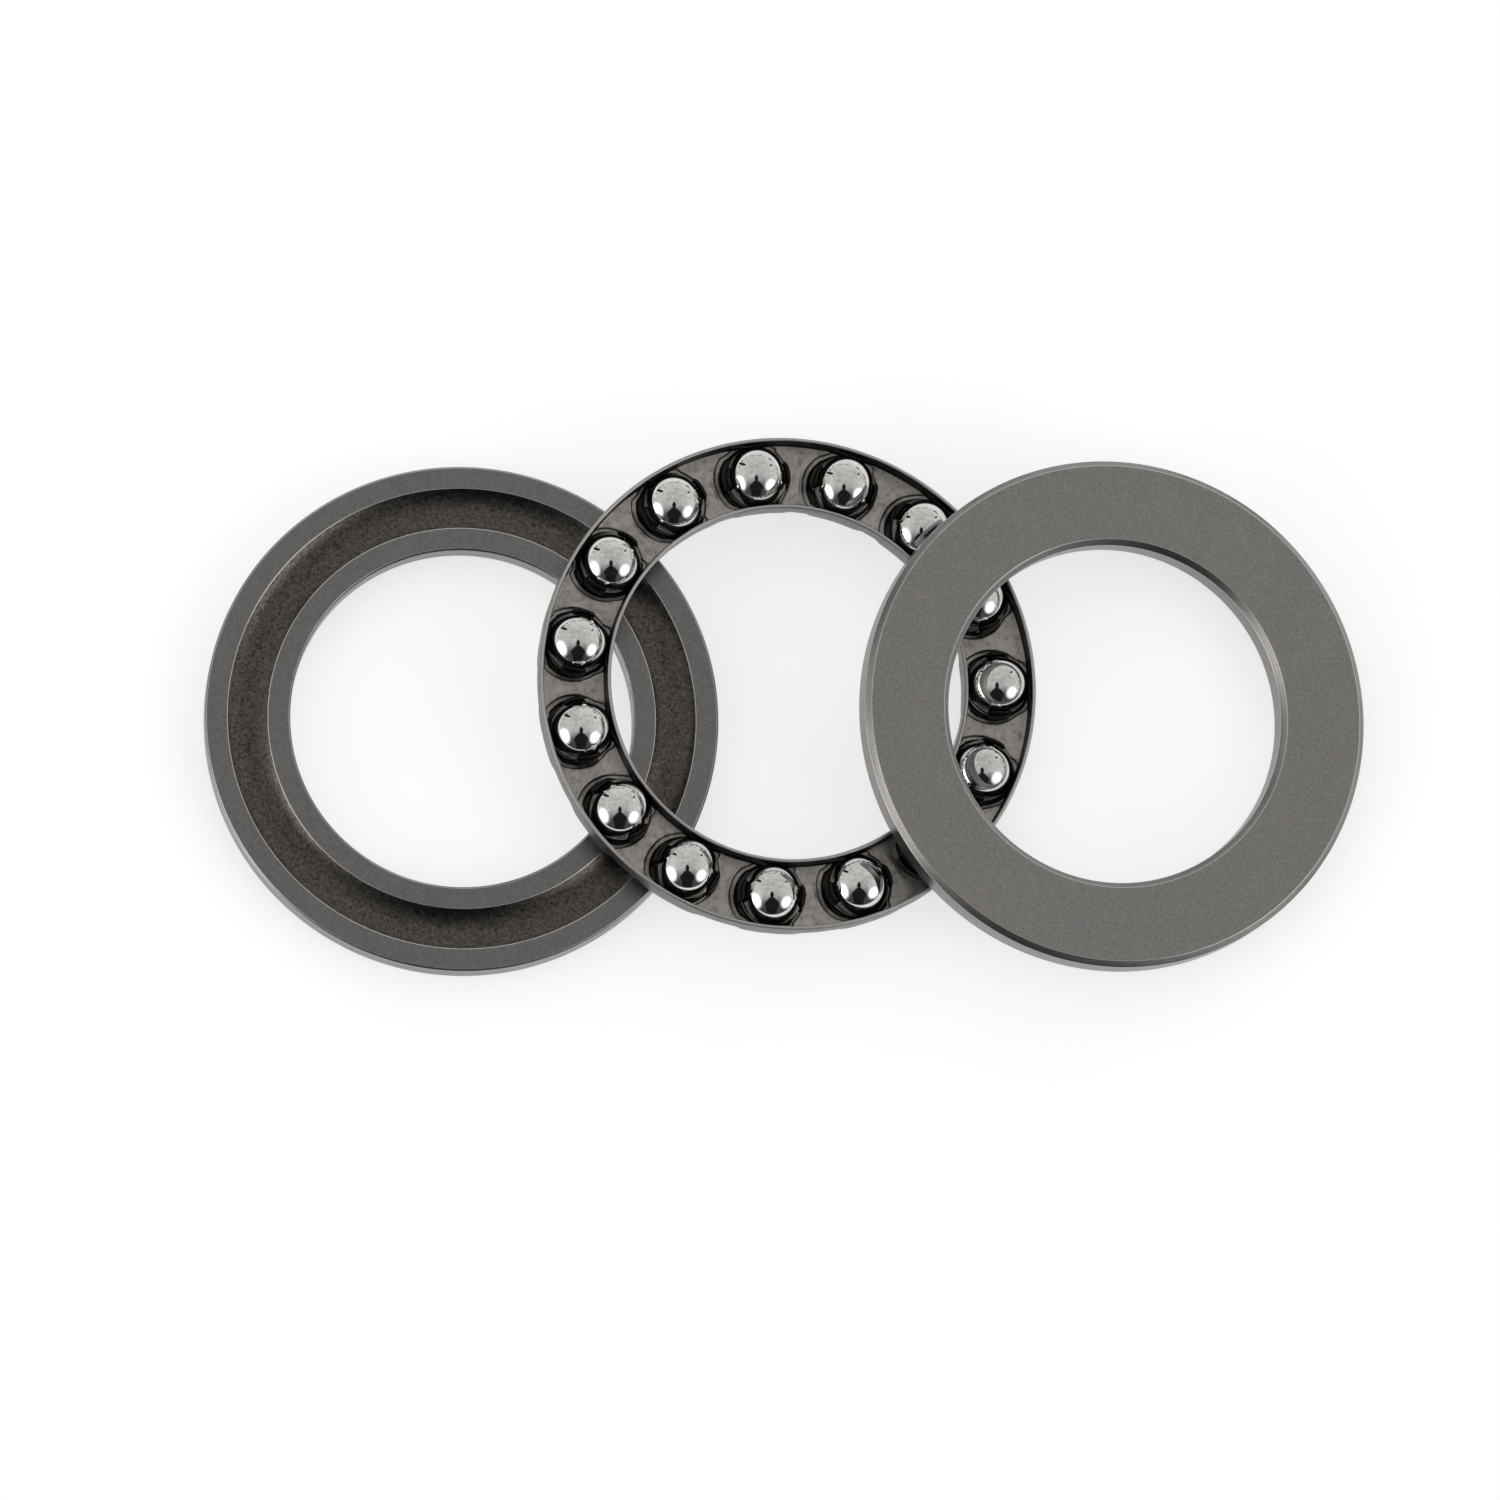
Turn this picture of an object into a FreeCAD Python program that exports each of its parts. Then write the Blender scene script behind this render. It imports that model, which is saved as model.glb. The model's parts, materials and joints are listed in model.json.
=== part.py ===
import FreeCAD, Part
import math
import os

from FreeCAD import Vector

# Single-direction thrust ball bearing of the 40 x 60 x 13 mm size, taken apart and laid out in a fan:
# the housing washer lies flat with its raceway up, the cage full of balls leans on it, and the shaft
# washer, with its raceway down, leans on the cage.
# Frame: millimetres, +Z up. The origin is the centre of the housing washer's back face, which lies on
# the plane z = 0, and the fan runs along +X.

# Washers, both ground from bearing steel to the same section.
bore_diameter = 40.0
outside_diameter = 60.0
assembled_height = 13.0
raceway_depth = 0.85
raceway_conformity = 0.52
back_chamfer = 0.65
raceway_side_chamfer = 0.2

# Row of balls, on the circle midway between the bore and the outside of the washers.
ball_count = 15
ball_diameter = 7.144
first_ball_angle = 97.9

# Cage, pressed from one sheet into a channel with a drawn cup under each ball.
# Heights are from its middle plane, where the ball centres lie; gaps are from a ball to what is beside it.
sheet = 0.45
outer_rim_gap = 0.278
inner_rim_gap = 0.078
rim_top = 1.7
web_top = -0.6
bend_radius = 0.6
ball_play = 0.075
cup_step = 0.3
cup_gap = 0.728
claw_sheet = 0.4
claw_width = 3.0
claw_top = 1.7

# Places of the centres in plan, and the gap left between pieces that lean on each other.
cage_place = (37.75, 3.8)
shaft_washer_place = (75.5, 0.5)
rest_gap = 0.05

# Worked out from the values above.
bore_radius = bore_diameter / 2
outside_radius = outside_diameter / 2
ball_radius = ball_diameter / 2
pitch_radius = (bore_radius + outside_radius) / 2
raceway_radius = raceway_conformity * ball_diameter
washer_height = (assembled_height - ball_diameter) / 2 + raceway_depth
cage_inner_radius = pitch_radius - ball_radius - inner_rim_gap - sheet
cage_outer_radius = pitch_radius + ball_radius + outer_rim_gap + sheet
web_bottom = web_top - sheet
cup_floor = web_bottom - cup_step
cup_bottom = cup_floor - sheet
cup_radius = ball_radius + cup_gap
seat_radius = ball_radius + ball_play
ball_slip = ball_play - rest_gap
ball_pitch_angle = 360.0 / ball_count


def revolve(edges):
    """A solid of revolution about Z of a closed outline in the XZ plane."""
    face = Part.Face(Part.Wire(edges))
    return face.revolve(Vector(0, 0, 0), Vector(0, 0, 1), 360)


def corners(points):
    """The straight edges that join the (radius, height) points in turn, left open at the end."""
    spots = [Vector(radius, 0, height) for radius, height in points]
    return [Part.makeLine(a, b) for a, b in zip(spots, spots[1:])]


def bend(start, middle, end):
    """A round edge through three (radius, height) points."""
    spots = [Vector(radius, 0, height) for radius, height in (start, middle, end)]
    return Part.Arc(*spots).toShape()


def tube(inner, outer, low, high):
    """A plain ring about Z."""
    outside = Part.makeCylinder(outer, high - low, Vector(0, 0, low))
    return outside.cut(Part.makeCylinder(inner, high - low, Vector(0, 0, low)))


def make_washer():
    """One washer about Z, its back face on z = 0 and its raceway at the top."""
    depth_left = raceway_radius - raceway_depth
    half_width = math.sqrt(raceway_radius ** 2 - depth_left ** 2)
    groove_outer = (pitch_radius + half_width, washer_height)
    groove_bottom = (pitch_radius, washer_height - raceway_depth)
    groove_inner = (pitch_radius - half_width, washer_height)
    inner_side = [
        groove_inner,
        (bore_radius + raceway_side_chamfer, washer_height),
        (bore_radius, washer_height - raceway_side_chamfer),
        (bore_radius, back_chamfer),
        (bore_radius + back_chamfer, 0),
        (outside_radius - back_chamfer, 0),
        (outside_radius, back_chamfer),
        (outside_radius, washer_height - raceway_side_chamfer),
        (outside_radius - raceway_side_chamfer, washer_height),
        groove_outer,
    ]
    return revolve(corners(inner_side) + [bend(groove_outer, groove_bottom, groove_inner)])


def make_channel():
    """The cage's open channel: two upright rims and the flat web between them, bent from one sheet."""
    slack = bend_radius * (1 - math.sqrt(0.5))
    outer = cage_outer_radius
    inner = cage_inner_radius
    inside = [
        (inner, web_bottom + bend_radius),
        (inner, rim_top),
        (inner + sheet, rim_top),
        (inner + sheet, web_top),
        (outer - sheet, web_top),
        (outer - sheet, rim_top),
        (outer, rim_top),
        (outer, web_bottom + bend_radius),
    ]
    underside = [(outer - bend_radius, web_bottom), (inner + bend_radius, web_bottom)]
    outer_bend = bend(inside[-1], (outer - slack, web_bottom + slack), underside[0])
    inner_bend = bend(underside[1], (inner + slack, web_bottom + slack), inside[0])
    return revolve(corners(inside) + [outer_bend] + corners(underside) + [inner_bend])


def around(shape):
    """Copies of a shape, one at each ball's place round the cage."""
    copies = []
    for index in range(ball_count):
        copy = shape.copy()
        copy.rotate(Vector(0, 0, 0), Vector(0, 0, 1), first_ball_angle + index * ball_pitch_angle)
        copies.append(copy)
    return copies


def make_cage():
    """The cage about Z, with a cup, a round seat and two claws at each ball."""
    centre = Vector(pitch_radius, 0, 0)
    below = Vector(pitch_radius, 0, cup_bottom)
    cup = Part.makeCylinder(cup_radius + sheet, web_top - cup_bottom, below)
    cup = cup.common(tube(cage_inner_radius, cage_outer_radius, cup_bottom, web_top))
    well = Part.makeCylinder(cup_radius, rim_top - cup_floor, Vector(pitch_radius, 0, cup_floor))
    well = well.common(tube(cage_inner_radius + sheet, cage_outer_radius - sheet, cup_floor, rim_top))
    seat = Part.makeSphere(seat_radius, centre)
    shell = Part.makeSphere(seat_radius + claw_sheet, centre).cut(seat)
    claw_bottom = (cup_floor + cup_bottom) / 2
    reach = 2 * (seat_radius + claw_sheet)
    band_corner = Vector(pitch_radius - claw_width / 2, -reach / 2, claw_bottom)
    claws = shell.common(Part.makeBox(claw_width, reach, claw_top - claw_bottom, band_corner))
    cage = make_channel().fuse(around(cup))
    cage = cage.cut(around(well))
    cage = cage.cut(around(seat))
    return cage.fuse(around(claws))


def ring_spots(place, height, lean, heading, radius, level, count=720):
    """Points round one circle of a ring whose centre stands at a place and height, leaning to a heading."""
    downhill = Vector(math.cos(heading), math.sin(heading), 0)
    across = Vector(-math.sin(heading), math.cos(heading), 0)
    normal = downhill * math.sin(lean) + Vector(0, 0, math.cos(lean))
    slope = downhill * math.cos(lean) - Vector(0, 0, math.sin(lean))
    centre = Vector(place[0], place[1], height) + normal * level
    spots = []
    for step in range(count):
        turn = 2 * math.pi * step / count
        spots.append(centre + slope * (radius * math.cos(turn)) + across * (radius * math.sin(turn)))
    return spots


def distance_to_section(spot, pose, inner, outer, low, high):
    """How far a point is from a plain ring of that section, which stands in a pose (centre, normal)."""
    centre, normal = pose
    offset = spot - centre
    level = offset.dot(normal)
    radius = (offset - normal * level).Length
    beside = max(inner - radius, radius - outer, 0.0)
    above = max(low - level, level - high, 0.0)
    return math.hypot(beside, above)


def gap_between(washer_pose, washer_levels, cage_pose):
    """The gap between a washer and all that the balls and the cage sweep as the cage turns."""
    cage_place_now, cage_height, cage_lean, cage_heading = cage_pose
    low, high = washer_levels
    section = (bore_radius, outside_radius, low, high)
    gaps = []
    for radius in (pitch_radius - ball_slip, pitch_radius + ball_slip):
        for spot in ring_spots(cage_place_now, cage_height, cage_lean, cage_heading, radius, 0):
            gaps.append(distance_to_section(spot, washer_pose, *section) - ball_radius)
    for radius in (cage_inner_radius, cage_outer_radius):
        for level in (cup_bottom, rim_top):
            for spot in ring_spots(cage_place_now, cage_height, cage_lean, cage_heading, radius, level):
                gaps.append(distance_to_section(spot, washer_pose, *section))
    return min(gaps)


def ring_normal(lean, heading):
    """The upward axis of a ring that leans by an angle, its low side to a heading."""
    flat = math.sin(lean)
    return Vector(flat * math.cos(heading), flat * math.sin(heading), math.cos(lean))


def cage_rest_height(lean):
    """Height of the cage's centre when the lowest ball or rim just meets the surface it lies on."""
    ball_drop = (pitch_radius + ball_slip) * math.sin(lean) + ball_radius
    rim_drop = cage_outer_radius * math.sin(lean) - cup_bottom * math.cos(lean)
    return max(ball_drop, rim_drop)


def washer_rest_height(lean):
    """Height of the centre of the shaft washer's raceway side when its low edge meets the surface."""
    edge_drop = outside_radius * math.sin(lean) - raceway_side_chamfer * math.cos(lean)
    face_drop = (outside_radius - raceway_side_chamfer) * math.sin(lean)
    return max(edge_drop, face_drop)


def smallest_lean(gap_at):
    """The least lean, in radians, that leaves the rest gap: the pieces just short of touching."""
    low = 0.0
    high = math.radians(40)
    for _ in range(24):
        middle = (low + high) / 2
        if gap_at(middle) < rest_gap:
            low = middle
        else:
            high = middle
    return high


def turned(shape, lean, heading, place, height):
    """The shape, leaning to a heading, with its own origin carried to a place and height."""
    shape = shape.copy()
    across = Vector(-math.sin(heading), math.cos(heading), 0)
    turn = FreeCAD.Rotation(across, math.degrees(lean))
    shape.Placement = FreeCAD.Placement(Vector(place[0], place[1], height), turn).multiply(shape.Placement)
    return shape


def save(shape, node):
    """Write one piece, after checking that it is one sound solid."""
    if not shape.isValid() or len(shape.Solids) != 1:
        raise ValueError(node + " is not one sound solid")
    shape.Solids[0].exportStep("parts/" + node + ".step")
    print(node, "volume", round(shape.Volume, 2), "mm3")


os.makedirs("parts", exist_ok=True)

washer = make_washer()
save(washer, "housing_washer")

# The cage leans along the line from the housing washer's centre to its own.
cage_heading = math.atan2(cage_place[1], cage_place[0])
flat_pose = (Vector(0, 0, 0), Vector(0, 0, 1))


def cage_gap(lean):
    pose = (cage_place, cage_rest_height(lean), lean, cage_heading)
    return gap_between(flat_pose, (0, washer_height), pose)


cage_lean = smallest_lean(cage_gap)
cage_height = cage_rest_height(cage_lean)
save(turned(make_cage(), cage_lean, cage_heading, cage_place, cage_height), "cage")

# Every ball has rolled down the slope to the low side of its pocket.
slip = Vector(ball_slip * math.cos(cage_heading), ball_slip * math.sin(cage_heading), 0)
for index, ball in enumerate(around(Part.makeSphere(ball_radius, Vector(pitch_radius, 0, 0))), start=1):
    ball.translate(slip)
    save(turned(ball, cage_lean, cage_heading, cage_place, cage_height), "ball_%02d" % index)

# The shaft washer leans the same way on the cage, from the cage's centre to its own.
shaft_heading = math.atan2(shaft_washer_place[1] - cage_place[1], shaft_washer_place[0] - cage_place[0])


def shaft_washer_gap(lean):
    centre = Vector(shaft_washer_place[0], shaft_washer_place[1], washer_rest_height(lean))
    pose = (centre, ring_normal(lean, shaft_heading))
    cage_pose = (cage_place, cage_height, cage_lean, cage_heading)
    return gap_between(pose, (0, washer_height), cage_pose)


shaft_lean = smallest_lean(shaft_washer_gap)
shaft_height = washer_rest_height(shaft_lean)
upside_down = washer.copy()
upside_down.rotate(Vector(0, 0, washer_height / 2), Vector(1, 0, 0), 180)
save(turned(upside_down, shaft_lean, shaft_heading, shaft_washer_place, shaft_height), "shaft_washer")

cage_axis = ring_normal(cage_lean, cage_heading)
shaft_axis = ring_normal(shaft_lean, shaft_heading)
print("washer height", washer_height)
print("cage lean", math.degrees(cage_lean), "centre", cage_place, cage_height, "axis", cage_axis)
print("shaft washer lean", math.degrees(shaft_lean), "raceway side centre", shaft_washer_place, shaft_height)
print("shaft washer axis", shaft_axis)
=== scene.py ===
import json
import math

import bmesh
import bpy
from mathutils import Matrix, Vector


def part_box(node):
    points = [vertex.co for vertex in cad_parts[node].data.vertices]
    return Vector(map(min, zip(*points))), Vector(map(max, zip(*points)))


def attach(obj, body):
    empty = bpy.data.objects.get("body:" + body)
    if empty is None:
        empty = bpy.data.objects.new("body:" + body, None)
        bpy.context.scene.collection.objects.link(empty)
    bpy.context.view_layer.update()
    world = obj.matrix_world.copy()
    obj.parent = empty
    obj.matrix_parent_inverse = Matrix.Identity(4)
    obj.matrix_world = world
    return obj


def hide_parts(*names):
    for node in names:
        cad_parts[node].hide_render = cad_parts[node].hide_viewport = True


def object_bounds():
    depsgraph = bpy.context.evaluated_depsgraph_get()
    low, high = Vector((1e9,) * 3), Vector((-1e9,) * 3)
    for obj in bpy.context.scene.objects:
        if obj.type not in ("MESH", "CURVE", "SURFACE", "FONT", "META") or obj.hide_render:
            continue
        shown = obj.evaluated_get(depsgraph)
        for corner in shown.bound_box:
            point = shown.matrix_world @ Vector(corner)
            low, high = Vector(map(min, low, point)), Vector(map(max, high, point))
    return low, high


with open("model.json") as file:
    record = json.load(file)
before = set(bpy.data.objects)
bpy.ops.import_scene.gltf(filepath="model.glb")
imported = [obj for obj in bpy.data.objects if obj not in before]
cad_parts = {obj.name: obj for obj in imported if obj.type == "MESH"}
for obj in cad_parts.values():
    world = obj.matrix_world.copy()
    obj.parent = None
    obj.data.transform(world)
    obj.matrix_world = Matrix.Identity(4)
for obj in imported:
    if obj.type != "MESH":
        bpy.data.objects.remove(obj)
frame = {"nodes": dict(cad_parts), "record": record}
cad_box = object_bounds()

# Housing washer: a plain ring turned from bearing steel, hardened through and ground all over, with
# a round raceway groove in its upper face. It lies loose, back face down. The ring is its outline
# carried round a circle, with every edge broken by a small radius.

mounts = {mount["name"]: mount for mount in frame["record"]["mounts"]}
housing_low, housing_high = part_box("housing_washer")
outside_radius = (housing_high.x - housing_low.x) / 2
washer_height = housing_high.z - housing_low.z
bore_radius = mounts["housing_washer_bore"]["dims"]["r_mm"] / 1000
pitch_radius = (outside_radius + bore_radius) / 2
raceway_radius = 0.003715
raceway_depth = 0.00085
back_chamfer = 0.00065
raceway_side_chamfer = 0.0002
edge_break = 0.00007
lip_break = 0.00009
edge_hold = 0.00003
lip_clearance = 0.00003
face_clearance = 0.00004
line_density = 14000
fine_relief = 0.000006
groove_steps = 18
ring_steps = 384


def put(tree, kind, inputs=(), **settings):
    """Add a node, set its properties, and set or link the inputs given as (name, value or socket)."""
    made = tree.nodes.new(kind)
    for label, choice in settings.items():
        setattr(made, label, choice)
    for label, value in inputs:
        if isinstance(value, bpy.types.NodeSocket):
            tree.links.new(value, made.inputs[label])
        else:
            made.inputs[label].default_value = value
    return made


def softened(corners, steps=3):
    """A closed outline of (radius, level, break, wear) corners, each rounded by its break."""
    points = []
    for index, (radius, level, broken, wear) in enumerate(corners):
        spot = Vector((radius, level))
        if not broken:
            points.append((spot, wear))
            continue
        back = Vector(corners[index - 1][:2]) - spot
        ahead = Vector(corners[(index + 1) % len(corners)][:2]) - spot
        reach = broken / math.tan(back.angle(ahead) / 2)
        back.normalize()
        ahead.normalize()
        points.append((spot + back * (reach + edge_hold), 0.0))
        for step in range(steps + 1):
            share = step / steps
            bow = (1 - share) ** 2 * (spot + back * reach) + share ** 2 * (spot + ahead * reach)
            points.append((bow + 2 * share * (1 - share) * spot, wear))
        points.append((spot + ahead * (reach + edge_hold), 0.0))
    return points


def washer_corners():
    """The washer's outline: back face at level 0, raceway side at the top."""
    depth_left = raceway_radius - raceway_depth
    half_turn = math.acos(depth_left / raceway_radius)
    groove = []
    for step in range(groove_steps + 1):
        turn = half_turn * (1 - 2 * step / groove_steps)
        radius = pitch_radius + raceway_radius * math.sin(turn)
        level = washer_height + depth_left - raceway_radius * math.cos(turn)
        lip = lip_break if step in (0, groove_steps) else 0
        groove.append((radius, level, lip, 1.0 if lip else 0.0))
    return [
        (bore_radius + raceway_side_chamfer, washer_height, edge_break, 0.7),
        (bore_radius, washer_height - raceway_side_chamfer, edge_break, 0.7),
        (bore_radius, back_chamfer, edge_break, 0.8),
        (bore_radius + back_chamfer, 0, edge_break, 0.9),
        (outside_radius - back_chamfer, 0, edge_break, 0.9),
        (outside_radius, back_chamfer, edge_break, 0.8),
        (outside_radius, washer_height - raceway_side_chamfer, edge_break, 0.7),
        (outside_radius - raceway_side_chamfer, washer_height, edge_break, 0.7),
    ] + groove


def outline_object(name, points):
    """A closed line of (spot, wear) points, laid out for sweeping round the pitch circle."""
    mesh = bpy.data.meshes.new(name)
    spots = [(spot.x - pitch_radius, -spot.y, 0) for spot, wear in points]
    links = [(index, (index + 1) % len(points)) for index in range(len(points))]
    mesh.from_pydata(spots, links, [])
    worn = mesh.attributes.new("wear", "FLOAT", "POINT")
    worn.data.foreach_set("value", [wear for spot, wear in points])
    made = bpy.data.objects.new(name, mesh)
    bpy.context.scene.collection.objects.link(made)
    return made


def socketed_tree(name, inputs):
    """An empty geometry tree with named inputs. Returns the tree and its input sockets by name."""
    tree = bpy.data.node_groups.new(name, "GeometryNodeTree")
    for label, kind in inputs:
        tree.interface.new_socket(label, in_out="INPUT", socket_type=kind)
    tree.interface.new_socket("Geometry", in_out="OUTPUT", socket_type="NodeSocketGeometry")
    group_input = tree.nodes.new("NodeGroupInput")
    return tree, {socket.name: socket for socket in group_input.outputs if socket.name}


def finish_tree(tree, geometry, finish):
    """Make instances real, shade smooth, set the finish and give the result out."""
    real = put(tree, "GeometryNodeRealizeInstances", [("Geometry", geometry)])
    smooth = put(tree, "GeometryNodeSetShadeSmooth", [("Geometry", real.outputs[0])])
    coated = put(tree, "GeometryNodeSetMaterial", [("Geometry", smooth.outputs[0]), ("Material", finish)])
    put(tree, "NodeGroupOutput", [("Geometry", coated.outputs[0])])


def grown(name, tree, values):
    """The plain mesh object that a geometry tree makes from inputs given by name."""
    made = bpy.data.objects.new(name, bpy.data.meshes.new(name))
    bpy.context.scene.collection.objects.link(made)
    modifier = made.modifiers.new("grow", "NODES")
    modifier.node_group = tree
    for item in tree.interface.items_tree:
        if item.in_out == "INPUT":
            modifier[item.identifier] = values[item.name]
    made.update_tag()
    depsgraph = bpy.context.evaluated_depsgraph_get()
    mesh = bpy.data.meshes.new_from_object(made.evaluated_get(depsgraph), depsgraph=depsgraph)
    made.modifiers.clear()
    made.data = mesh
    return made


def close_up(piece, gap=1e-6):
    """Merge doubled points and turn every face outward."""
    solid = bmesh.new()
    solid.from_mesh(piece.data)
    bmesh.ops.remove_doubles(solid, verts=solid.verts, dist=gap)
    bmesh.ops.dissolve_degenerate(solid, edges=solid.edges, dist=gap)
    bmesh.ops.recalc_face_normals(solid, faces=solid.faces)
    solid.to_mesh(piece.data)
    solid.free()


def swept_ring_tree():
    """An outline carried round the pitch circle. "turning" grows from point to point across it."""
    tree, given = socketed_tree("swept_ring", [
        ("Outline", "NodeSocketObject"),
        ("Pitch Radius", "NodeSocketFloat"),
        ("Steps", "NodeSocketInt"),
        ("Finish", "NodeSocketMaterial"),
    ])
    path = put(tree, "GeometryNodeCurvePrimitiveCircle", [
        ("Resolution", given["Steps"]),
        ("Radius", given["Pitch Radius"]),
    ])
    outline = put(tree, "GeometryNodeObjectInfo", [("Object", given["Outline"])])
    section = put(tree, "GeometryNodeMeshToCurve", [("Mesh", outline.outputs["Geometry"])])
    ring = put(tree, "GeometryNodeCurveToMesh", [
        ("Curve", path.outputs["Curve"]),
        ("Profile Curve", section.outputs["Curve"]),
    ])
    place = put(tree, "GeometryNodeInputPosition")
    apart = put(tree, "ShaderNodeSeparateXYZ", [("Vector", place.outputs[0])])
    flat = put(tree, "ShaderNodeCombineXYZ", [("X", apart.outputs["X"]), ("Y", apart.outputs["Y"])])
    radius = put(tree, "ShaderNodeVectorMath", [("Vector", flat.outputs[0])], operation="LENGTH")
    both = put(tree, "ShaderNodeMath", [
        (0, radius.outputs["Value"]),
        (1, apart.outputs["Z"]),
    ], operation="SUBTRACT")
    marked = put(tree, "GeometryNodeStoreNamedAttribute", [
        ("Geometry", ring.outputs["Mesh"]),
        ("Name", "turning"),
        ("Value", both.outputs[0]),
    ])
    finish_tree(tree, marked.outputs["Geometry"], given["Finish"])
    return tree


def grey(level, warmth=0.0):
    """A steel grey, a little warmer or cooler."""
    return (level * (1 + warmth), level, level * (1 - warmth), 1)


def noise(tree, vector, scale, detail=3.0, roughness=0.55, distortion=0.0):
    """A noise value between about 0.3 and 0.7, as a socket."""
    made = put(tree, "ShaderNodeTexNoise", [
        ("Vector", vector),
        ("Scale", scale),
        ("Detail", detail),
        ("Roughness", roughness),
        ("Distortion", distortion),
    ])
    return made.outputs["Fac"]


def spread(tree, value, low, high, start=0.3, end=0.7):
    """A value carried from start..end to low..high, as a socket."""
    made = put(tree, "ShaderNodeMapRange", [
        ("Value", value),
        ("From Min", start),
        ("From Max", end),
        ("To Min", low),
        ("To Max", high),
    ])
    return made.outputs["Result"]


def blend_colour(tree, share, first, second, mode="MIX"):
    """Two colours mixed by a share, as a socket."""
    made = put(tree, "ShaderNodeMix", data_type="RGBA", blend_type=mode)
    for label, value in (("Factor_Float", share), ("A_Color", first), ("B_Color", second)):
        socket = next(s for s in made.inputs if s.identifier == label)
        if isinstance(value, bpy.types.NodeSocket):
            tree.links.new(value, socket)
        else:
            socket.default_value = value
    return next(s for s in made.outputs if s.identifier == "Result_Color")


def attribute(tree, name):
    """A number stored on the mesh, as a socket."""
    return put(tree, "ShaderNodeAttribute", attribute_name=name).outputs["Fac"]


def bare_metal(name):
    """An empty metal material: the material, its tree, its shader and the piece's coordinates."""
    material = bpy.data.materials.new(name)
    material.use_nodes = True
    tree = material.node_tree
    shader = tree.nodes["Principled BSDF"]
    shader.inputs["Metallic"].default_value = 1.0
    coordinates = put(tree, "ShaderNodeTexCoord").outputs["Object"]
    return material, tree, shader, coordinates


def bump(tree, shader, layers):
    """Several (height, strength, depth in metres) layers of fine relief, one over the other."""
    normal = None
    for height, strength, depth in layers:
        inputs = [("Height", height), ("Strength", strength), ("Distance", depth)]
        if normal:
            inputs.append(("Normal", normal))
        normal = put(tree, "ShaderNodeBump", inputs).outputs["Normal"]
    tree.links.new(normal, shader.inputs["Normal"])


def turned_lines(tree, coordinates, scale):
    """Fine lines that run round the ring, broken up a little along their length."""
    slow = (90, 90, 90)
    stretched = put(tree, "ShaderNodeVectorMath", [(0, coordinates), (1, slow)], operation="MULTIPLY")
    made = put(tree, "ShaderNodeTexNoise", [
        ("Vector", stretched.outputs[0]),
        ("Scale", 1.0),
        ("Detail", 4.0),
    ], noise_dimensions="4D")
    turning = attribute(tree, "turning")
    pitch = put(tree, "ShaderNodeMath", [(0, turning), (1, scale)], operation="MULTIPLY")
    tree.links.new(pitch.outputs[0], made.inputs["W"])
    return made.outputs["Fac"]


def washer_steel(name, land, groove_tone, land_shine, groove_shine):
    """Ground bearing steel: satin lands, a browner speckled raceway, lined chamfers and bright edges."""
    material, tree, shader, coordinates = bare_metal(name)
    cloud = noise(tree, coordinates, 160, 5, 0.65, 0.4)
    grain = noise(tree, coordinates, 3300, 4, 0.75)
    speck = noise(tree, coordinates, 2600, 5, 0.8)
    lines = turned_lines(tree, coordinates, line_density)
    dim_land = grey(land * 0.95, 0.03)
    bright_land = grey(land * 1.07, 0.045)
    face = blend_colour(tree, spread(tree, cloud, 0, 1), dim_land, bright_land)
    face = blend_colour(tree, spread(tree, grain, 0, 1, 0.34, 0.66), face, grey(land * 1.5, 0.03))
    pit = grey(groove_tone * 0.35, 0.07)
    fleck = grey(groove_tone * 1.9, 0.09)
    dull = blend_colour(tree, spread(tree, speck, 0, 1, 0.36, 0.68), pit, fleck)
    valley = grey(land * 0.6, 0.03)
    crest = grey(0.3, 0.02)
    turned = blend_colour(tree, spread(tree, lines, 0, 1, 0.35, 0.65), valley, crest)
    worn = attribute(tree, "wear")
    raceway = attribute(tree, "raceway")
    colour = blend_colour(tree, attribute(tree, "turned"), face, turned)
    colour = blend_colour(tree, raceway, colour, dull)
    colour = blend_colour(tree, worn, colour, grey(0.58, 0.015))
    tree.links.new(colour, shader.inputs["Base Color"])
    satin = spread(tree, cloud, land_shine * 0.97, land_shine * 1.03)
    matte = spread(tree, speck, groove_shine * 0.85, groove_shine * 1.15)
    blend_shine = put(tree, "ShaderNodeMix", data_type="FLOAT")
    for index, value in ((0, raceway), (2, satin), (3, matte)):
        tree.links.new(value, blend_shine.inputs[index])
    polish = put(tree, "ShaderNodeMix", data_type="FLOAT")
    tree.links.new(worn, polish.inputs[0])
    tree.links.new(blend_shine.outputs[0], polish.inputs[2])
    polish.inputs[3].default_value = 0.2
    tree.links.new(polish.outputs[0], shader.inputs["Roughness"])
    bump(tree, shader, [
        (grain, 0.45, fine_relief),
        (lines, 0.45, fine_relief),
        (speck, 0.3, 0.00001),
    ])
    return material


def mark_washer(piece, axis_place):
    """Store on each point whether it lies in the groove, and whether on a chamfer or a side."""
    back = axis_place.inverted()
    depth_left = raceway_radius - raceway_depth
    groove_values = []
    turned_values = []
    for vertex in piece.data.vertices:
        spot = back @ vertex.co
        radius = math.hypot(spot.x, spot.y)
        above = spot.z - washer_height - depth_left
        inside = math.hypot(radius - pitch_radius, above) < raceway_radius * 1.01
        below_lip = washer_height / 2 < spot.z < washer_height - lip_clearance
        groove_values.append(1.0 if inside and below_lip else 0.0)
        side = min(radius - bore_radius, outside_radius - radius)
        off_faces = face_clearance < spot.z < washer_height - face_clearance
        turned_values.append(1.0 if side < back_chamfer * 0.9 and off_faces else 0.0)
    piece.data.attributes.new("raceway", "FLOAT", "POINT").data.foreach_set("value", groove_values)
    piece.data.attributes.new("turned", "FLOAT", "POINT").data.foreach_set("value", turned_values)


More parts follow.
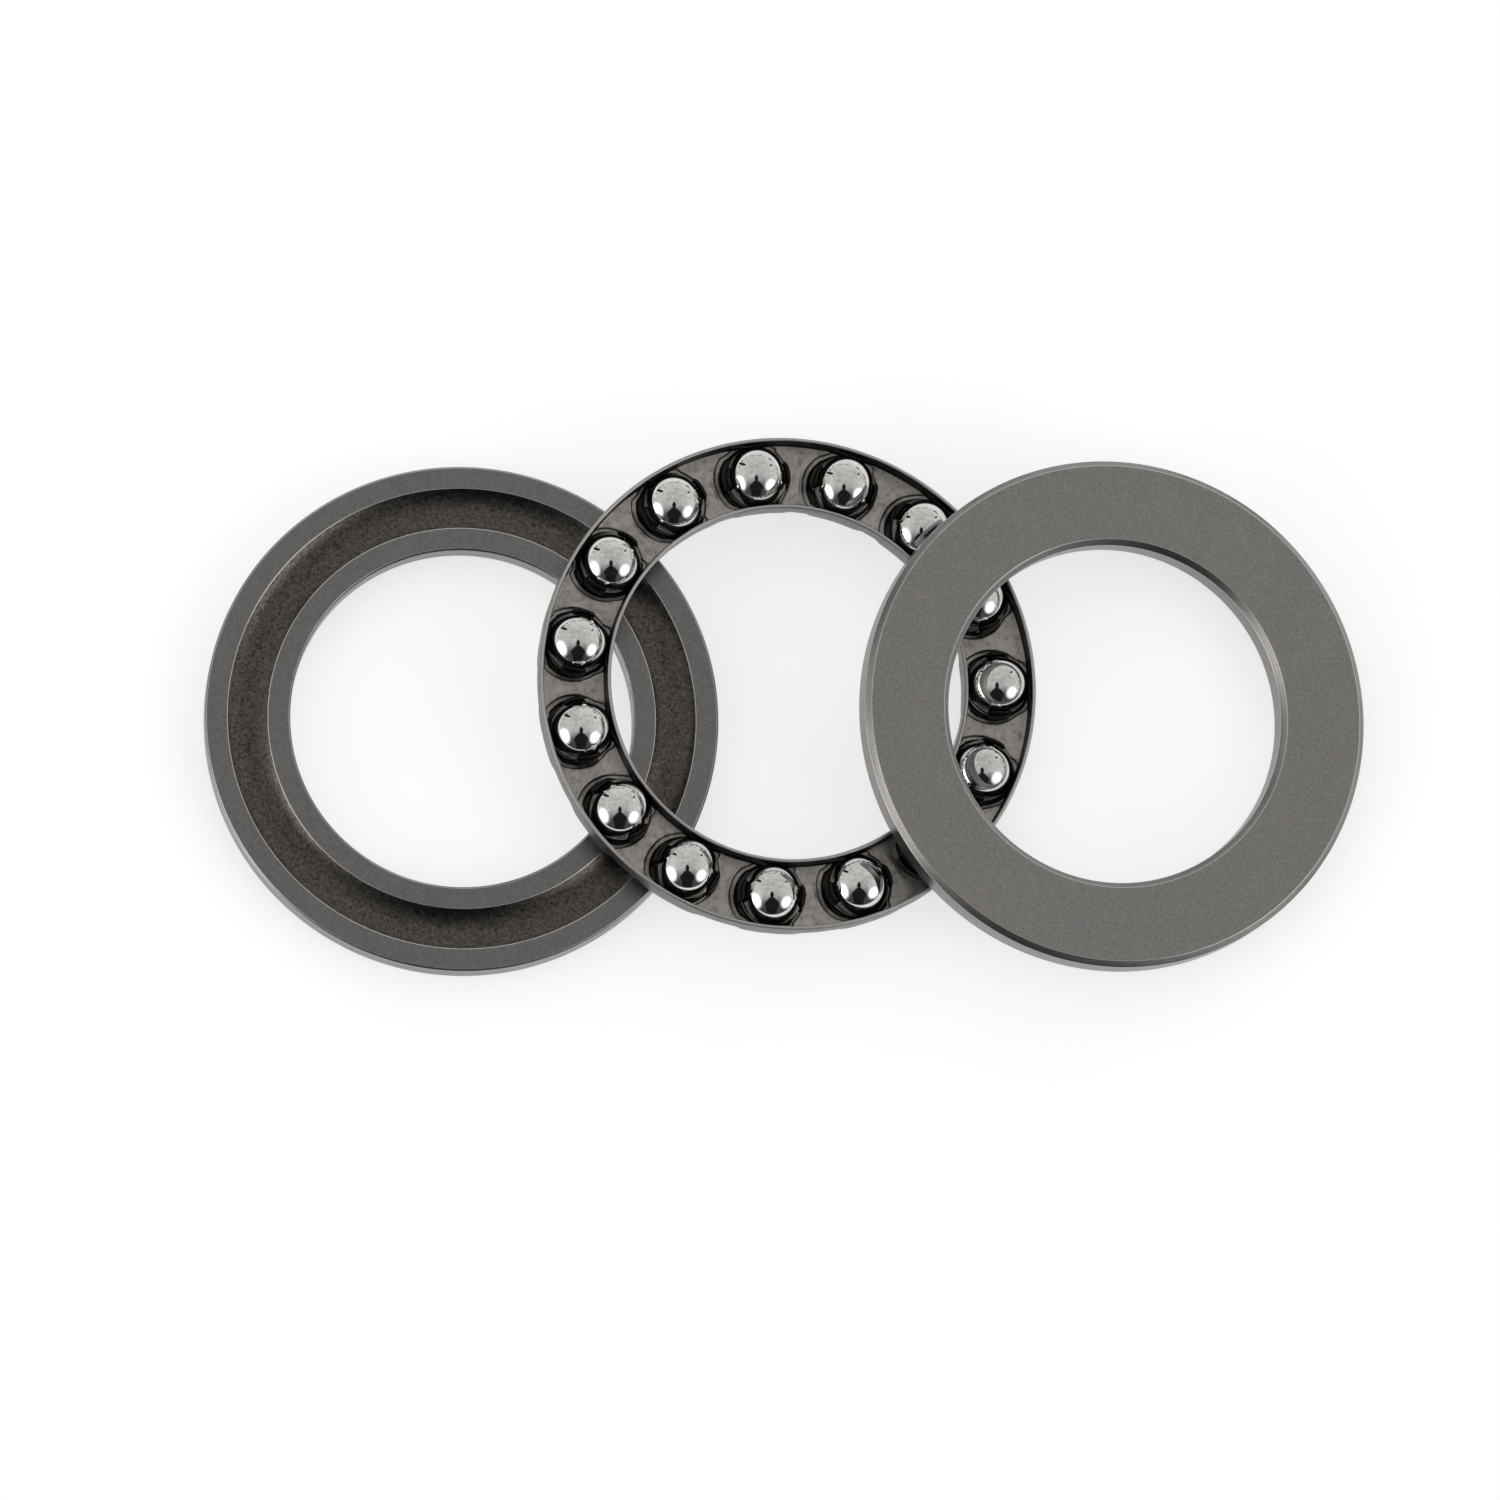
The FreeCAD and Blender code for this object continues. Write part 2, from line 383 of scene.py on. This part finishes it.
def ring_place(centre, axis):
    """The place of a ring whose own Z axis points along the axis."""
    turn = Vector((0, 0, 1)).rotation_difference(Vector(axis)).to_matrix().to_4x4()
    return Matrix.Translation(Vector(centre)) @ turn


def make_washer(node, back_mount, finish):
    """One washer, swept in its own frame and carried to the mount on its back face."""
    mount = mounts[back_mount]
    place = ring_place(mount["pos_m"], -Vector(mount["axis"]))
    outline = outline_object(node + "_outline", softened(washer_corners()))
    ring = grown(node + "_ring", ring_tree, {
        "Outline": outline,
        "Pitch Radius": pitch_radius,
        "Steps": ring_steps,
        "Finish": finish,
    })
    bpy.data.objects.remove(outline)
    ring.data.transform(place)
    close_up(ring)
    mark_washer(ring, place)
    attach(ring, node)
    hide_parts(node)


ring_tree = swept_ring_tree()
housing_steel = washer_steel(
    "housing_steel", land=0.146, groove_tone=0.076, land_shine=0.34, groove_shine=0.33
)
make_washer("housing_washer", "housing_washer_back", housing_steel)

# Cage: one sheet of mild steel, blanked as a ring and pressed into a channel, with a stepped pocket
# drawn into its web at each ball and two thin claws bent up beside the ball to hold it in. The ring is
# one pocket's share of the channel, repeated once for each ball.

joints = {joint["name"]: joint for joint in frame["record"]["behaviour"]["joints"]}
ball_names = sorted(name for name in frame["nodes"] if name.startswith("ball_"))
ball_count = len(ball_names)
ball_low, ball_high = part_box(ball_names[0])
ball_radius = (ball_high.x - ball_low.x) / 2
cage_centre = Vector(joints["cage_spin"]["pos_m"])
cage_axis = Vector(joints["cage_spin"]["axis"])
cage_inner = 0.0209
cage_outer = 0.0293
sheet = 0.00045
rim_top = 0.0017
web_top = -0.0006
cage_bend = 0.0006
cage_corner = 0.00018
rim_break = 0.00019
well_shift = 0.00052
seat_radius = 0.003647
claw_thickness = 0.00036
claw_width = 0.0028
claw_bottom = -0.0014
claw_top = 0.00165
claw_taper = 0.25
# Below this level the seat is painted black over a short fade, partly for oil and partly as painted shade
# in the deep pocket.
oil_and_shade_level = -0.00098
oil_and_shade_fade = 0.0002
cage_unevenness = 0.00005
pocket_weld = 2e-6
seam_weld = 3e-6
wall_steps = 30
side_steps = 20


def unrolled(points):
    """(distance, level) points in millimetres, given in metres."""
    return [(distance / 1000, level / 1000) for distance, level in points]


# From the ball's hole outward: the seat, the floor of the cup, and two steps up to the web.
pocket_top = unrolled([
    (3.18, -1.80), (3.29, -1.60), (3.36, -1.45), (3.42, -1.38), (3.50, -1.35), (3.62, -1.34),
    (3.78, -1.33), (3.85, -1.29), (3.88, -1.20), (3.90, -1.05), (3.95, -0.97), (4.04, -0.94),
    (4.26, -0.92), (4.33, -0.88), (4.36, -0.80), (4.38, -0.70), (4.43, -0.63), (4.52, -0.60),
    (4.66, -0.60),
])
pocket_under = unrolled([
    (3.18, -1.80), (3.24, -1.80), (3.60, -1.80), (4.20, -1.80), (4.42, -1.77), (4.62, -1.67),
    (4.80, -1.50), (4.94, -1.30), (5.06, -1.14), (5.20, -1.05),
])
web_shares = (0.3, 0.65, 1.0)


def level_at(profile, distance):
    """The level of a pocket's profile at a distance from the ball's centre line."""
    if distance >= profile[-1][0]:
        return profile[-1][1]
    for (near, low), (far, high) in zip(profile, profile[1:]):
        if distance <= far:
            return low + (high - low) * (distance - near) / (far - near)


def pocket_rays():
    """Where each ray from a ball's centre ends: (angle round the cage, share across the channel)."""
    sector = math.pi / ball_count
    along = [2 * step / wall_steps - 1 for step in range(wall_steps)]
    across = [step / side_steps for step in range(side_steps)]
    rays = [(sector * step, 1.0) for step in along]
    rays += [(sector, 1 - step) for step in across]
    rays += [(-sector * step, 0.0) for step in along]
    rays += [(-sector, step) for step in across]
    return rays


def ray_end(angle, radius):
    """The end of a ray, from the ball's centre: its distance and its direction."""
    reach = Vector((radius * math.cos(angle) - pitch_radius, radius * math.sin(angle)))
    return reach.length, reach.normalized()


def well_share(profile, distance, length):
    """How far a point of a pocket follows the shift of its well: not at the seat, nor at a wall."""
    last = profile[-1][0]
    wall_fade = 0.0006
    seat_end = 0.0034
    seat_fade = 0.0008
    clear_of_wall = min(1.0, max(0.0, (length - last) / wall_fade))
    clear_of_seat = min(1.0, max(0.0, (distance - seat_end) / seat_fade))
    held_end = min(1.0, max(0.0, (length - distance) / max(length - last, 1e-6)))
    return clear_of_wall * clear_of_seat * held_end


def pocket_sheet(solid, profile, inner, outer, shift_share):
    """One face of the web in a pocket's share of the cage, as rings of points round the ball."""
    well = solid.verts.layers.float["well"]
    columns = []
    for angle, share in pocket_rays():
        length, heading = ray_end(angle, inner + (outer - inner) * share)
        last = profile[-1][0]
        distances = [distance for distance, level in profile]
        distances += [last + (length - last) * part for part in web_shares]
        column = []
        for distance in distances:
            reach = min(distance, length) if length < last else distance
            spot = heading * reach
            point = solid.verts.new((pitch_radius + spot.x, spot.y, level_at(profile, reach)))
            point[well] = shift_share * well_share(profile, reach, length)
            column.append(point)
        columns.append(column)
    for column, after in zip(columns, columns[1:] + columns[:1]):
        for index in range(len(column) - 1):
            quad = (column[index], column[index + 1], after[index + 1], after[index])
            solid.faces.new(quad)


def wall_column(angle, side):
    """Points over one wall of the channel: up its inner face, over the rim and down to the underside."""
    face = cage_outer if side > 0 else cage_inner
    top_edge = face - side * (sheet + cage_corner)
    low_edge = face - side * cage_bend
    top_level = level_at(pocket_top, ray_end(angle, top_edge)[0])
    low_level = level_at(pocket_under, ray_end(angle, low_edge)[0])
    points = []
    for step in range(4):
        turn = math.pi / 6 * step
        points.append((top_edge + side * cage_corner * math.sin(turn),
                       top_level + cage_corner * (1 - math.cos(turn))))
    for inner_side in (True, False):
        wall = face - side * sheet if inner_side else face
        sweep = [math.pi / 2 * step / 3 for step in range(4)]
        for turn in sweep if inner_side else reversed(sweep):
            aside = rim_break * (1 - math.cos(turn)) * (side if inner_side else -side)
            points.append((wall + aside, rim_top - rim_break * (1 - math.sin(turn))))
    for share in (0.33, 0.66):
        points.append((face, rim_top + (low_level + cage_bend - rim_top) * share))
    for step in range(5):
        turn = math.pi / 8 * step
        points.append((face - side * cage_bend * (1 - math.cos(turn)),
                       low_level + cage_bend * (1 - math.sin(turn))))
    return points


def pocket_wall(solid, side):
    """One wall of the channel along a pocket's share of the cage."""
    sector = math.pi / ball_count
    columns = []
    for step in range(wall_steps + 1):
        angle = sector * (2 * step / wall_steps - 1)
        across = Vector((math.cos(angle), math.sin(angle)))
        column = []
        for radius, level in wall_column(angle, side):
            column.append(solid.verts.new((across.x * radius, across.y * radius, level)))
        columns.append(column)
    for column, after in zip(columns, columns[1:]):
        for index in range(len(column) - 1):
            solid.faces.new((column[index], column[index + 1], after[index + 1], after[index]))


def pocket_claw(solid, side, rows=9, strips=10):
    """One claw: a thin pad of the seat's own curve, standing up beside the ball."""
    low_turn = math.asin(claw_bottom / seat_radius)
    high_turn = math.asin(claw_top / seat_radius)
    shells = []
    for facing in (-1, 1):
        grid = []
        for row in range(rows + 1):
            rise = 2 * row / rows - 1
            turn = low_turn + (high_turn - low_turn) * row / rows
            line = []
            for strip in range(strips + 1):
                aside = 2 * strip / strips - 1
                narrow = math.sqrt(max(0.0, 1 - max(0.0, rise) ** 6)) * claw_taper + (1 - claw_taper)
                full = math.sqrt(max(0.0, (1 - aside ** 8) * (1 - max(0.0, rise) ** 8)))
                radius = seat_radius + claw_thickness * (1 + facing * full) / 2
                flat = radius * math.cos(turn)
                out = aside * claw_width / 2 * narrow
                along = math.sqrt(flat ** 2 - out ** 2)
                level = radius * math.sin(turn)
                line.append(solid.verts.new((pitch_radius + out, side * along, level)))
            grid.append(line)
        shells.append(grid)
        for low, high in zip(grid, grid[1:]):
            for index in range(strips):
                solid.faces.new((low[index], low[index + 1], high[index + 1], high[index]))
    inner, outer = shells[0][0], shells[1][0]
    for index in range(strips):
        solid.faces.new((inner[index], inner[index + 1], outer[index + 1], outer[index]))
    return [point for shell in shells for line in shell for point in line]


def pocket_object():
    """One pocket's share of the cage, in the cage's own frame, with the ball's centre on the X axis."""
    solid = bmesh.new()
    solid.verts.layers.float.new("well")
    claw = solid.verts.layers.float.new("claw")
    top_inner = cage_inner + sheet + cage_corner
    top_outer = cage_outer - sheet - cage_corner
    pocket_sheet(solid, pocket_top, top_inner, top_outer, 1.0)
    pocket_sheet(solid, pocket_under, cage_inner + cage_bend, cage_outer - cage_bend, 0.0)
    for side in (-1, 1):
        pocket_wall(solid, side)
        for point in pocket_claw(solid, side):
            point[claw] = 1.0
    bmesh.ops.remove_doubles(solid, verts=solid.verts, dist=pocket_weld)
    bmesh.ops.dissolve_degenerate(solid, edges=solid.edges, dist=1e-6)
    mesh = bpy.data.meshes.new("pocket")
    solid.to_mesh(mesh)
    solid.free()
    made = bpy.data.objects.new("pocket", mesh)
    bpy.context.scene.collection.objects.link(made)
    return made


def pocket_ring_tree():
    """A pocket repeated round the cage's axis, joined up and left a little uneven."""
    tree, given = socketed_tree("pocket_ring", [
        ("Pocket", "NodeSocketObject"),
        ("Count", "NodeSocketInt"),
        ("Unevenness", "NodeSocketFloat"),
        ("Well Shift", "NodeSocketVector"),
        ("Finish", "NodeSocketMaterial"),
    ])
    spots = put(tree, "GeometryNodeMeshLine", [("Count", given["Count"]), ("Offset", (0, 0, 0))])
    index = put(tree, "GeometryNodeInputIndex")
    share = put(tree, "ShaderNodeMath", [(0, index.outputs[0]), (1, given["Count"])], operation="DIVIDE")
    turn = put(tree, "ShaderNodeMath", [(0, share.outputs[0]), (1, 2 * math.pi)], operation="MULTIPLY")
    around = put(tree, "ShaderNodeCombineXYZ", [("Z", turn.outputs[0])])
    pocket = put(tree, "GeometryNodeObjectInfo", [("Object", given["Pocket"]), ("As Instance", True)])
    copies = put(tree, "GeometryNodeInstanceOnPoints", [
        ("Points", spots.outputs["Mesh"]),
        ("Instance", pocket.outputs["Geometry"]),
        ("Rotation", around.outputs[0]),
    ])
    real = put(tree, "GeometryNodeRealizeInstances", [("Geometry", copies.outputs[0])])
    joined = put(tree, "GeometryNodeMergeByDistance", [
        ("Geometry", real.outputs[0]),
        ("Distance", seam_weld),
    ])
    well = put(tree, "GeometryNodeInputNamedAttribute", [("Name", "well")], data_type="FLOAT")
    drift = put(tree, "ShaderNodeVectorMath", [(0, given["Well Shift"])], operation="SCALE")
    tree.links.new(well.outputs["Attribute"], drift.inputs["Scale"])
    shifted = put(tree, "GeometryNodeSetPosition", [
        ("Geometry", joined.outputs[0]),
        ("Offset", drift.outputs[0]),
    ])
    waves = put(tree, "ShaderNodeTexNoise", [("Scale", 420.0), ("Detail", 2.0)])
    middle = put(tree, "ShaderNodeVectorMath", [
        (0, waves.outputs["Color"]),
        (1, (0.5, 0.5, 0.5)),
    ], operation="SUBTRACT")
    shift = put(tree, "ShaderNodeVectorMath", [(0, middle.outputs[0])], operation="SCALE")
    tree.links.new(given["Unevenness"], shift.inputs["Scale"])
    uneven = put(tree, "GeometryNodeSetPosition", [
        ("Geometry", shifted.outputs[0]),
        ("Offset", shift.outputs[0]),
    ])
    finish_tree(tree, uneven.outputs[0], given["Finish"])
    return tree


def cage_steel():
    """Bare pressed sheet: warm grey and stained, with painted shade darkening the walls, and the seats,
    claws and corners by the walls black with oil and painted shade.
    """
    material, tree, shader, coordinates = bare_metal("cage_steel")
    cloud = noise(tree, coordinates, 420, 5, 0.65, 0.6)
    stain = noise(tree, coordinates, 1300, 4, 0.7, 0.3)
    grain = noise(tree, coordinates, 6500, 3, 0.7)
    colour = blend_colour(tree, spread(tree, cloud, 0, 1), grey(0.26, 0.035), grey(0.5, 0.05))
    colour = blend_colour(tree, spread(tree, stain, 0, 0.75, 0.48, 0.66), colour, grey(0.13, 0.1))
    # Painted shade: the walls are painted darker so that they do not show bright with the pale floor they
    # reflect.
    colour = blend_colour(tree, attribute(tree, "wall"), colour, grey(0.13, 0.03))
    colour = blend_colour(tree, spread(tree, grain, 0, 0.3), colour, grey(0.42, 0.03))
    colour = blend_colour(tree, attribute(tree, "wear"), colour, grey(0.55, 0.02))
    # Painted shade: the deep seats, the claws and the corners by the walls turn near black, partly oil
    # and partly painted shade.
    colour = blend_colour(tree, attribute(tree, "oil_and_shade"), colour, grey(0.02, 0.1))
    tree.links.new(colour, shader.inputs["Base Color"])
    tree.links.new(spread(tree, cloud, 0.34, 0.5), shader.inputs["Roughness"])
    bump(tree, shader, [(grain, 0.4, 0.000006), (stain, 0.3, 0.00002)])
    return material


def mark_cage(piece):
    """Store how worn the rims are, where the walls are painted darker as shade, and how far the seats,
    claws and corners by the walls are blackened by oil and painted shade.
    """
    claws = [entry.value for entry in piece.data.attributes["claw"].data]
    wear_values = []
    wall_shade_values = []
    oil_and_shade_values = []
    for vertex, claw in zip(piece.data.vertices, claws):
        radius = math.hypot(vertex.co.x, vertex.co.y)
        level = vertex.co.z
        channel = cage_inner + sheet * 0.8 < radius < cage_outer - sheet * 0.8
        web = cage_inner + sheet * 1.3 < radius < cage_outer - sheet * 1.3
        top = rim_top - rim_break * 0.35
        wear_values.append(0.7 if level > top and not claw else 0.0)
        # Walls are marked for painted shade, darker than the web.
        wall_shade_values.append(0.0 if web else 1.0)
        # The deep seats, the claws and the corners by the walls are marked for near-black paint: partly
        # oil, partly painted shade.
        depth = min(1.0, max(0.0, (oil_and_shade_level - level) / oil_and_shade_fade))
        side = 0.75 if channel and not web and level < top else 0.0
        oil_and_shade_values.append(1.0 if claw else max(side, 0.95 * depth if web else 0.0))
    for name, values in (("wear", wear_values), ("wall", wall_shade_values), ("oil_and_shade", oil_and_shade_values)):
        piece.data.attributes.new(name, "FLOAT", "POINT").data.foreach_set("value", values)


# The wells lie a little to the high side of the balls.
ball_reach = (ball_low + ball_high) / 2 - cage_centre
cage_across = (ball_reach - cage_axis * ball_reach.dot(cage_axis)).normalized()
cage_place = Matrix((cage_across, cage_axis.cross(cage_across), cage_axis)).transposed().to_4x4()
uphill = cage_place.to_3x3().inverted() @ Vector((-cage_axis.x, -cage_axis.y, 0)).normalized()
cage_place.translation = cage_centre
pocket = pocket_object()
cage_ring = grown("cage_ring", pocket_ring_tree(), {
    "Pocket": pocket,
    "Count": ball_count,
    "Unevenness": cage_unevenness,
    "Well Shift": list(uphill * well_shift),
    "Finish": cage_steel(),
})
bpy.data.objects.remove(pocket)
close_up(cage_ring, pocket_weld)
mark_cage(cage_ring)
cage_ring.data.transform(cage_place)
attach(cage_ring, "cage")
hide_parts("cage")

# Balls: fifteen chrome steel balls, ground and lapped to a mirror, one loose in each pocket. Each is
# a cube of fine squares blown up to a sphere, so that it has no poles.

ball_facets = 25


def ball_tree():
    """A cube whose points all stand at one radius from its centre."""
    tree, given = socketed_tree("lapped_ball", [
        ("Radius", "NodeSocketFloat"),
        ("Facets", "NodeSocketInt"),
        ("Finish", "NodeSocketMaterial"),
    ])
    cube = put(tree, "GeometryNodeMeshCube", [
        ("Size", (2, 2, 2)),
        ("Vertices X", given["Facets"]),
        ("Vertices Y", given["Facets"]),
        ("Vertices Z", given["Facets"]),
    ])
    place = put(tree, "GeometryNodeInputPosition")
    bent = put(tree, "ShaderNodeVectorMath", [(0, place.outputs[0]), (1, (math.pi / 4,) * 3)],
               operation="MULTIPLY")
    even = put(tree, "ShaderNodeVectorMath", [(0, bent.outputs[0])], operation="TANGENT")
    unit = put(tree, "ShaderNodeVectorMath", [(0, even.outputs[0])], operation="NORMALIZE")
    sized = put(tree, "ShaderNodeVectorMath", [(0, unit.outputs[0])], operation="SCALE")
    tree.links.new(given["Radius"], sized.inputs["Scale"])
    round_ball = put(tree, "GeometryNodeSetPosition", [
        ("Geometry", cube.outputs["Mesh"]),
        ("Position", sized.outputs[0]),
    ])
    finish_tree(tree, round_ball.outputs[0], given["Finish"])
    return tree


def ball_steel():
    """Lapped chrome steel: a clear mirror with faint smears of oil and hair-fine scratches."""
    material, tree, shader, coordinates = bare_metal("ball_steel")
    smear = noise(tree, coordinates, 480, 4, 0.6, 1.2)
    pit = noise(tree, coordinates, 5200, 2, 0.5)
    colour = blend_colour(tree, spread(tree, smear, 0, 1), grey(0.72, 0.012), grey(0.55, 0.02))
    tree.links.new(colour, shader.inputs["Base Color"])
    tree.links.new(spread(tree, smear, 0.03, 0.075), shader.inputs["Roughness"])
    bump(tree, shader, [(pit, 0.05, 0.000002)])
    return material


lapped_tree = ball_tree()
lapped_steel = ball_steel()
for name in ball_names:
    low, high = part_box(name)
    ball = grown(name + "_lapped", lapped_tree, {
        "Radius": ball_radius,
        "Facets": ball_facets,
        "Finish": lapped_steel,
    })
    ball.data.transform(Matrix.Translation((low + high) / 2))
    close_up(ball)
    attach(ball, name)
    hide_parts(name)

# Shaft washer: the same ring as the housing washer, laid with its raceway down, so that its flat
# ground back and its wide chamfers show. It leans on the cage.

shaft_steel = washer_steel(
    "shaft_steel", land=0.19, groove_tone=0.085, land_shine=0.34, groove_shine=0.33
)
make_washer("shaft_washer", "shaft_washer_back", shaft_steel)

# Stage: a plain pale floor and a soft white surround, with a soft light at the left and at the right.
# It is darker low down in front, with a dark figure there that only shows as a reflection.

floor_size = 8.0
floor_glow = 1.15
left_strength = 2.4
right_strength = 2.0
floor_material = bpy.data.materials.new("floor_paint")
floor_material.use_nodes = True
floor_tree = floor_material.node_tree
floor_shader = floor_tree.nodes["Principled BSDF"]
floor_shader.inputs["Roughness"].default_value = 0.9
floor_shader.inputs["Specular IOR Level"].default_value = 0.0
floor_shader.inputs["Emission Strength"].default_value = floor_glow
floor_coordinates = put(floor_tree, "ShaderNodeTexCoord").outputs["Object"]
floor_cloud = noise(floor_tree, floor_coordinates, 30)
floor_colour = blend_colour(floor_tree, floor_cloud, grey(0.54), grey(0.56))
floor_tree.links.new(floor_colour, floor_shader.inputs["Base Color"])
floor_tree.links.new(floor_colour, floor_shader.inputs["Emission Color"])
floor_mesh = bpy.data.meshes.new("floor")
half_floor = floor_size / 2
floor_corners = [(-half_floor, -half_floor, 0), (half_floor, -half_floor, 0),
                 (half_floor, half_floor, 0), (-half_floor, half_floor, 0)]
floor_mesh.from_pydata(floor_corners, [], [(0, 1, 2, 3)])
floor = bpy.data.objects.new("floor", floor_mesh)
floor_mesh.materials.append(floor_material)
bpy.context.scene.collection.objects.link(floor)


def away(heading, height):
    """The direction at a heading, round from +X, and a height above the floor, both in degrees."""
    turn, rise = math.radians(heading), math.radians(height)
    return Vector((math.cos(turn) * math.cos(rise), math.sin(turn) * math.cos(rise), math.sin(rise)))


def patch(tree, heading, direction, core, edge):
    """How far a direction lies inside a patch of sky: 1 in the core, 0 past the edge (degrees)."""
    near = put(tree, "ShaderNodeVectorMath", [(0, heading), (1, direction)], operation="DOT_PRODUCT")
    made = put(tree, "ShaderNodeMapRange", [
        ("Value", near.outputs["Value"]),
        ("From Min", math.cos(math.radians(edge))),
        ("From Max", math.cos(math.radians(core))),
    ], interpolation_type="SMOOTHSTEP")
    return made.outputs["Result"]


def sum_up(tree, first, second, operation="ADD"):
    """Two values put together, as a socket."""
    return put(tree, "ShaderNodeMath", [(0, first), (1, second)], operation=operation).outputs[0]


world = bpy.data.worlds.new("surround")
world.use_nodes = True
sky = world.node_tree
sky_shader = sky.nodes["Background"]
sky_heading = put(sky, "ShaderNodeTexCoord").outputs["Generated"]
sky_height = put(sky, "ShaderNodeSeparateXYZ", [("Vector", sky_heading)]).outputs["Z"]
sky_light = spread(sky, sky_height, 0.95, 0.68, 0.1, 1.0)
sky_light = sum_up(sky, sky_light, spread(sky, noise(sky, sky_heading, 4.5, 5), 0.74, 1.12), "MULTIPLY")
low_dark = patch(sky, sky_heading, away(-90, 5), 32, 82)
sky_light = sum_up(sky, sky_light, spread(sky, low_dark, 1.0, 0.1, 0.0, 1.0), "MULTIPLY")
clutter = spread(sky, noise(sky, sky_heading, 9, 4, 0.6), 0.0, 1.0, 0.52, 0.6)
clutter = sum_up(sky, clutter, spread(sky, sky_height, 1.0, 0.0, 0.1, 0.28), "MULTIPLY")
sky_light = sum_up(sky, sky_light, spread(sky, clutter, 1.0, 0.12, 0.0, 1.0), "MULTIPLY")
left_patch = patch(sky, sky_heading, away(202, 12), 3, 30)
right_patch = patch(sky, sky_heading, away(-33, 25), 2, 25)
left_light = sum_up(sky, left_patch, left_strength, "MULTIPLY")
right_light = sum_up(sky, right_patch, right_strength, "MULTIPLY")
sky_light = sum_up(sky, sky_light, sum_up(sky, left_light, right_light))
sky_tint = (1.0, 0.99, 0.975, 1)
sky_colour = blend_colour(sky, 1.0, sky_light, sky_tint, "MULTIPLY")
sky.links.new(sky_colour, sky_shader.inputs["Color"])
bpy.context.scene.world = world
bpy.context.scene.view_settings.view_transform = "Standard"

stage_centre = (cad_box[0] + cad_box[1]) / 2
dark_cloth = bpy.data.materials.new("dark_cloth")
dark_cloth.use_nodes = True
cloth_tree = dark_cloth.node_tree
cloth_shader = cloth_tree.nodes["Principled BSDF"]
cloth_shader.inputs["Roughness"].default_value = 0.95
cloth_shader.inputs["Specular IOR Level"].default_value = 0.0
cloth_coordinates = put(cloth_tree, "ShaderNodeTexCoord").outputs["Object"]
cloth_noise = noise(cloth_tree, cloth_coordinates, 9, 4)
cloth_colour = blend_colour(cloth_tree, cloth_noise, grey(0.004), grey(0.03))
cloth_tree.links.new(cloth_colour, cloth_shader.inputs["Base Color"])
shape_reach = 0.7


def dark_shape(name, outline):
    """A dark cloth on a dome over the stage, seen only in reflections. Its outline is a plan view."""
    mesh = bpy.data.meshes.new(name)
    spots = []
    for x, y in outline:
        spots.append(stage_centre + Vector((x, y, math.sqrt(max(0.0, 1 - x * x - y * y)))) * shape_reach)
    mesh.from_pydata(spots, [], [tuple(range(len(spots)))])
    mesh.materials.append(dark_cloth)
    made = bpy.data.objects.new(name, mesh)
    bpy.context.scene.collection.objects.link(made)
    made.visible_camera = False
    made.visible_diffuse = False
    made.visible_shadow = False


def round_outline(centre, across, along, count=24):
    """The corners of an ellipse."""
    turns = [2 * math.pi * step / count for step in range(count)]
    return [(centre[0] + across * math.cos(turn), centre[1] + along * math.sin(turn)) for turn in turns]


dark_shape("operator_body", [
    (-0.26, -0.965), (-0.36, -0.83), (-0.47, -0.72), (-0.46, -0.6), (-0.33, -0.46), (-0.19, -0.36),
    (0.06, -0.36), (0.2, -0.46), (0.36, -0.6), (0.38, -0.72), (0.28, -0.83), (0.2, -0.979),
])
dark_shape("operator_head", round_outline((-0.065, -0.2), 0.12, 0.22))
dark_shape("left_gap", round_outline((-0.69, 0.65), 0.09, 0.06))
dark_shape("right_gap", round_outline((0.7, 0.6), 0.045, 0.045))

# Camera: high in front, with a very long lens, so that the rings show almost without perspective.

view_heading = Vector((-0.0657, -0.1956, 0.9785)).normalized()
view_roll = 0.0104
view_distance = 3.0
view_width = 0.17517
view_target = Vector((0.03391, -0.00266, 0.0))
camera_data = bpy.data.cameras.new("camera")
camera_data.lens = camera_data.sensor_width * view_distance / view_width
camera_data.clip_end = 20
camera = bpy.data.objects.new("camera", camera_data)
right = Vector((1, 0, 0))
right = (right - view_heading * right.dot(view_heading)).normalized()
right = Matrix.Rotation(view_roll, 3, view_heading) @ right
camera.matrix_world = Matrix((right, view_heading.cross(right), view_heading)).transposed().to_4x4()
camera.location = view_target + view_heading * view_distance
bpy.context.scene.collection.objects.link(camera)
bpy.context.scene.camera = camera
